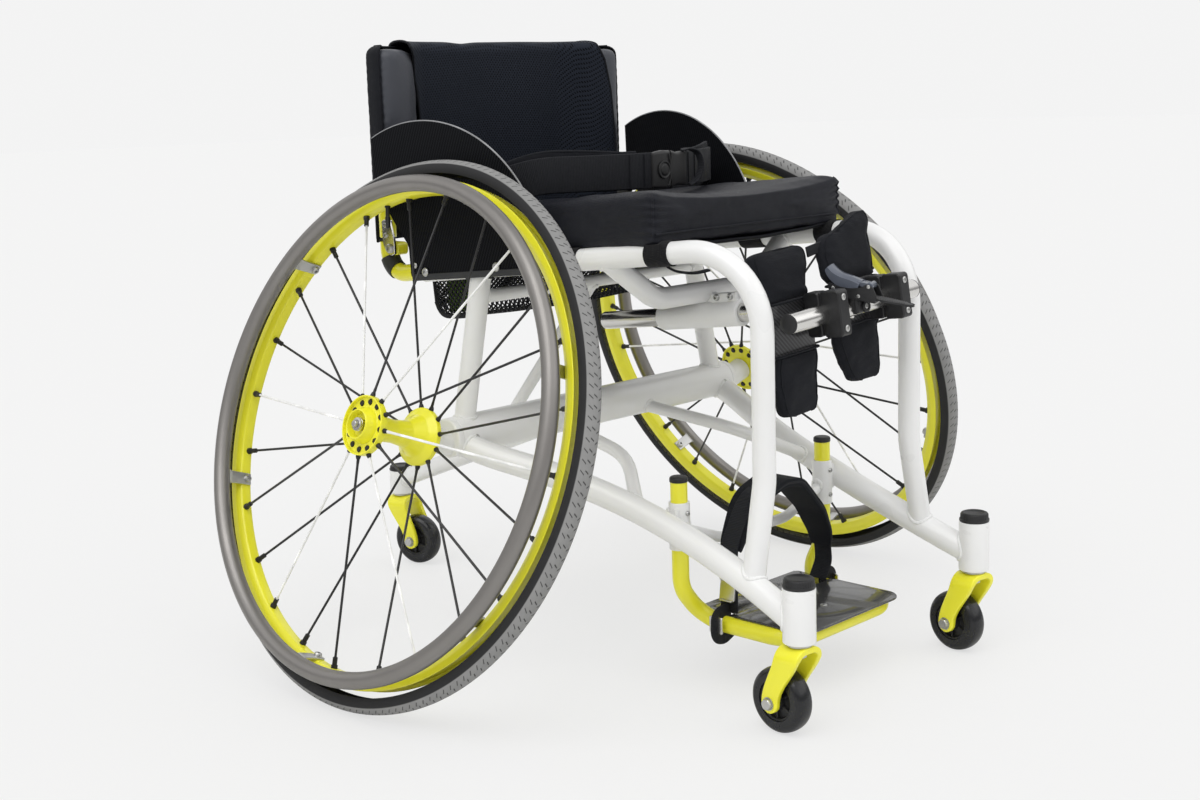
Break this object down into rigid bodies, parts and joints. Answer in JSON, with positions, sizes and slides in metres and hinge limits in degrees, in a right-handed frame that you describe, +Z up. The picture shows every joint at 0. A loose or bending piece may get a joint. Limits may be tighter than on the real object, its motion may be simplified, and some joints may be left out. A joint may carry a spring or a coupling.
{
  "type": "tennis wheelchair",
  "caption": "Rigid court wheelchair for tennis: steeply cambered spoked wheels with pushrims, swivel casters, rear anti-tip wheel, footrest, shin support, padded seat and back.",
  "frame": {"origin": "middle of the chair's footprint, on the floor", "axes": "+Z up, -Y the way the chair drives, +X the sitter's left"},
  "size_m": [0.9354, 0.9068, 0.742],
  "materials": {
    "white_paint": "gloss powder coat",
    "yellow_anodised": "bright yellow anodised",
    "polished_steel": "polished stainless",
    "grey_anodised": "dark grey anodised",
    "tyre_rubber": "matt rubber",
    "caster_urethane": "smooth urethane",
    "carbon_plate": "carbon twill under clear lacquer",
    "black_plastic": "moulded, fine texture",
    "black_fabric": "woven and quilted"
  },
  "bodies": {
    "frame": {"camber_tube": "white_paint", "rear_cross_tube": "white_paint", "knee_mount": "white_paint", "footrest_mount": "white_paint", "anti_tip_arm": "white_paint", "anti_tip_stay": "white_paint", "seat_sling": "black_fabric", "cushion": "black_fabric", "mesh_bag": "black_fabric", "left_belt": "black_fabric", "right_lower_rail": "white_paint", "right_side_tube": "white_paint", "right_caster_head": "white_paint", "right_strut": "white_paint", "right_brace": "white_paint", "right_camber_plug": "polished_steel", "right_axle": "polished_steel", "right_side_guard": "carbon_plate", "right_back_stub": "yellow_anodised", "left_lower_rail": "white_paint", "left_side_tube": "white_paint", "left_caster_head": "white_paint", "left_strut": "white_paint", "left_brace": "white_paint", "left_camber_plug": "polished_steel", "left_axle": "polished_steel", "left_side_guard": "carbon_plate", "left_back_stub": "yellow_anodised"},
    "right_wheel": {"right_tyre": "tyre_rubber", "right_rim": "yellow_anodised", "right_hub": "yellow_anodised", "right_pushrim": "grey_anodised"},
    "left_wheel": {"left_tyre": "tyre_rubber", "left_rim": "yellow_anodised", "left_hub": "yellow_anodised", "left_pushrim": "grey_anodised"},
    "right_button": {"right_axle_button": "polished_steel"},
    "left_button": {"left_axle_button": "polished_steel"},
    "right_caster_swivel": {"right_caster_fork": "yellow_anodised"},
    "right_caster_wheel": {"right_caster_wheel": "caster_urethane"},
    "left_caster_swivel": {"left_caster_fork": "yellow_anodised"},
    "left_caster_wheel": {"left_caster_wheel": "caster_urethane"},
    "rear_caster_swivel": {"rear_caster_fork": "yellow_anodised"},
    "rear_caster_wheel": {"rear_caster_wheel": "caster_urethane"},
    "footrest": {"foot_tube": "yellow_anodised", "footplate": "carbon_plate", "foot_strap": "black_fabric"},
    "strap_cam": {"strap_cam": "polished_steel"},
    "knee_support": {"knee_bar": "polished_steel", "ratchet_base": "black_plastic"},
    "right_pad": {"right_pad_clamp": "black_plastic", "right_shin_pad": "black_fabric"},
    "left_pad": {"left_pad_clamp": "black_plastic", "left_shin_pad": "black_fabric"},
    "ladder_strap": {"ladder_strap": "black_plastic"},
    "ratchet_lever": {"ratchet_lever": "grey_anodised"},
    "right_belt": {"right_belt": "black_fabric"},
    "backrest": {"right_back_post": "yellow_anodised", "left_back_post": "yellow_anodised", "back_upholstery": "black_fabric"}
  },
  "joints": [
    {"name": "right_wheel_turn", "type": "hinge", "parent": "frame", "child": "right_wheel", "pos_m": [-0.3347, 0.01935, 0.30371], "axis": [-0.947, 0, 0.3211], "continuous": true},
    {"name": "left_wheel_turn", "type": "hinge", "parent": "frame", "child": "left_wheel", "pos_m": [0.3347, 0.01935, 0.30371], "axis": [0.947, 0, 0.3211], "continuous": true},
    {"name": "right_button_press", "type": "slide", "parent": "frame", "child": "right_button", "axis": [0.947, 0, -0.3211], "range_m": [0, 0.004], "stiffness_N_per_m": 300, "springref_m": -0.003},
    {"name": "left_button_press", "type": "slide", "parent": "frame", "child": "left_button", "axis": [-0.947, 0, -0.3211], "range_m": [0, 0.004], "stiffness_N_per_m": 300, "springref_m": -0.003},
    {"name": "right_caster_swivel", "type": "hinge", "parent": "frame", "child": "right_caster_swivel", "pos_m": [-0.1696, -0.43565, 0], "axis": [0, 0, 1], "continuous": true},
    {"name": "right_caster_roll", "type": "hinge", "parent": "right_caster_swivel", "child": "right_caster_wheel", "pos_m": [-0.16777, -0.41032, 0.0364], "axis": [0.9974, -0.0719, 0], "continuous": true},
    {"name": "left_caster_swivel", "type": "hinge", "parent": "frame", "child": "left_caster_swivel", "pos_m": [0.1696, -0.43565, 0], "axis": [0, 0, 1], "continuous": true},
    {"name": "left_caster_roll", "type": "hinge", "parent": "left_caster_swivel", "child": "left_caster_wheel", "pos_m": [0.17299, -0.41048, 0.0364], "axis": [0.991, -0.1336, 0], "continuous": true},
    {"name": "rear_caster_swivel", "type": "hinge", "parent": "frame", "child": "rear_caster_swivel", "pos_m": [0, 0.43385, 0], "axis": [0, 0, 1], "continuous": true},
    {"name": "rear_caster_roll", "type": "hinge", "parent": "rear_caster_swivel", "child": "rear_caster_wheel", "pos_m": [0.00584, 0.40913, 0.0364], "axis": [-0.9732, -0.2299, 0], "continuous": true},
    {"name": "footrest_height", "type": "slide", "parent": "frame", "child": "footrest", "axis": [0, 0, 1], "range_m": [-0.02, 0.03]},
    {"name": "strap_cam_lift", "type": "hinge", "parent": "footrest", "child": "strap_cam", "pos_m": [-0.0866, -0.27065, 0.1233], "axis": [0, 1, 0], "range_deg": [0, 70]},
    {"name": "knee_support_reach", "type": "slide", "parent": "frame", "child": "knee_support", "axis": [0, -0.9938, 0.1115], "range_m": [-0.015, 0.06]},
    {"name": "right_pad_tilt", "type": "hinge", "parent": "knee_support", "child": "right_pad", "pos_m": [0, -0.38133, 0.43633], "axis": [0.9983, 0.0064, 0.0572], "range_deg": [-12, 12]},
    {"name": "left_pad_tilt", "type": "hinge", "parent": "knee_support", "child": "left_pad", "pos_m": [0, -0.38133, 0.43633], "axis": [0.9983, 0.0064, 0.0572], "range_deg": [-12, 12]},
    {"name": "ladder_strap_feed", "type": "slide", "parent": "knee_support", "child": "ladder_strap", "axis": [0.3581, -0.9146, -0.1881], "range_m": [-0.02, 0.006]},
    {"name": "ratchet_lever_lift", "type": "hinge", "parent": "knee_support", "child": "ratchet_lever", "pos_m": [0.00493, -0.4048, 0.46038], "axis": [0.932, 0.3621, 0.0135], "range_deg": [0, 60]},
    {"name": "belt_buckle_part", "type": "slide", "parent": "frame", "child": "right_belt", "axis": [-1, 0, 0], "range_m": [0, 0.0135]},
    {"name": "backrest_angle", "type": "hinge", "parent": "frame", "child": "backrest", "pos_m": [0, 0.16235, 0.497], "axis": [1, 0, 0], "range_deg": [-6, 8]}
  ]
}
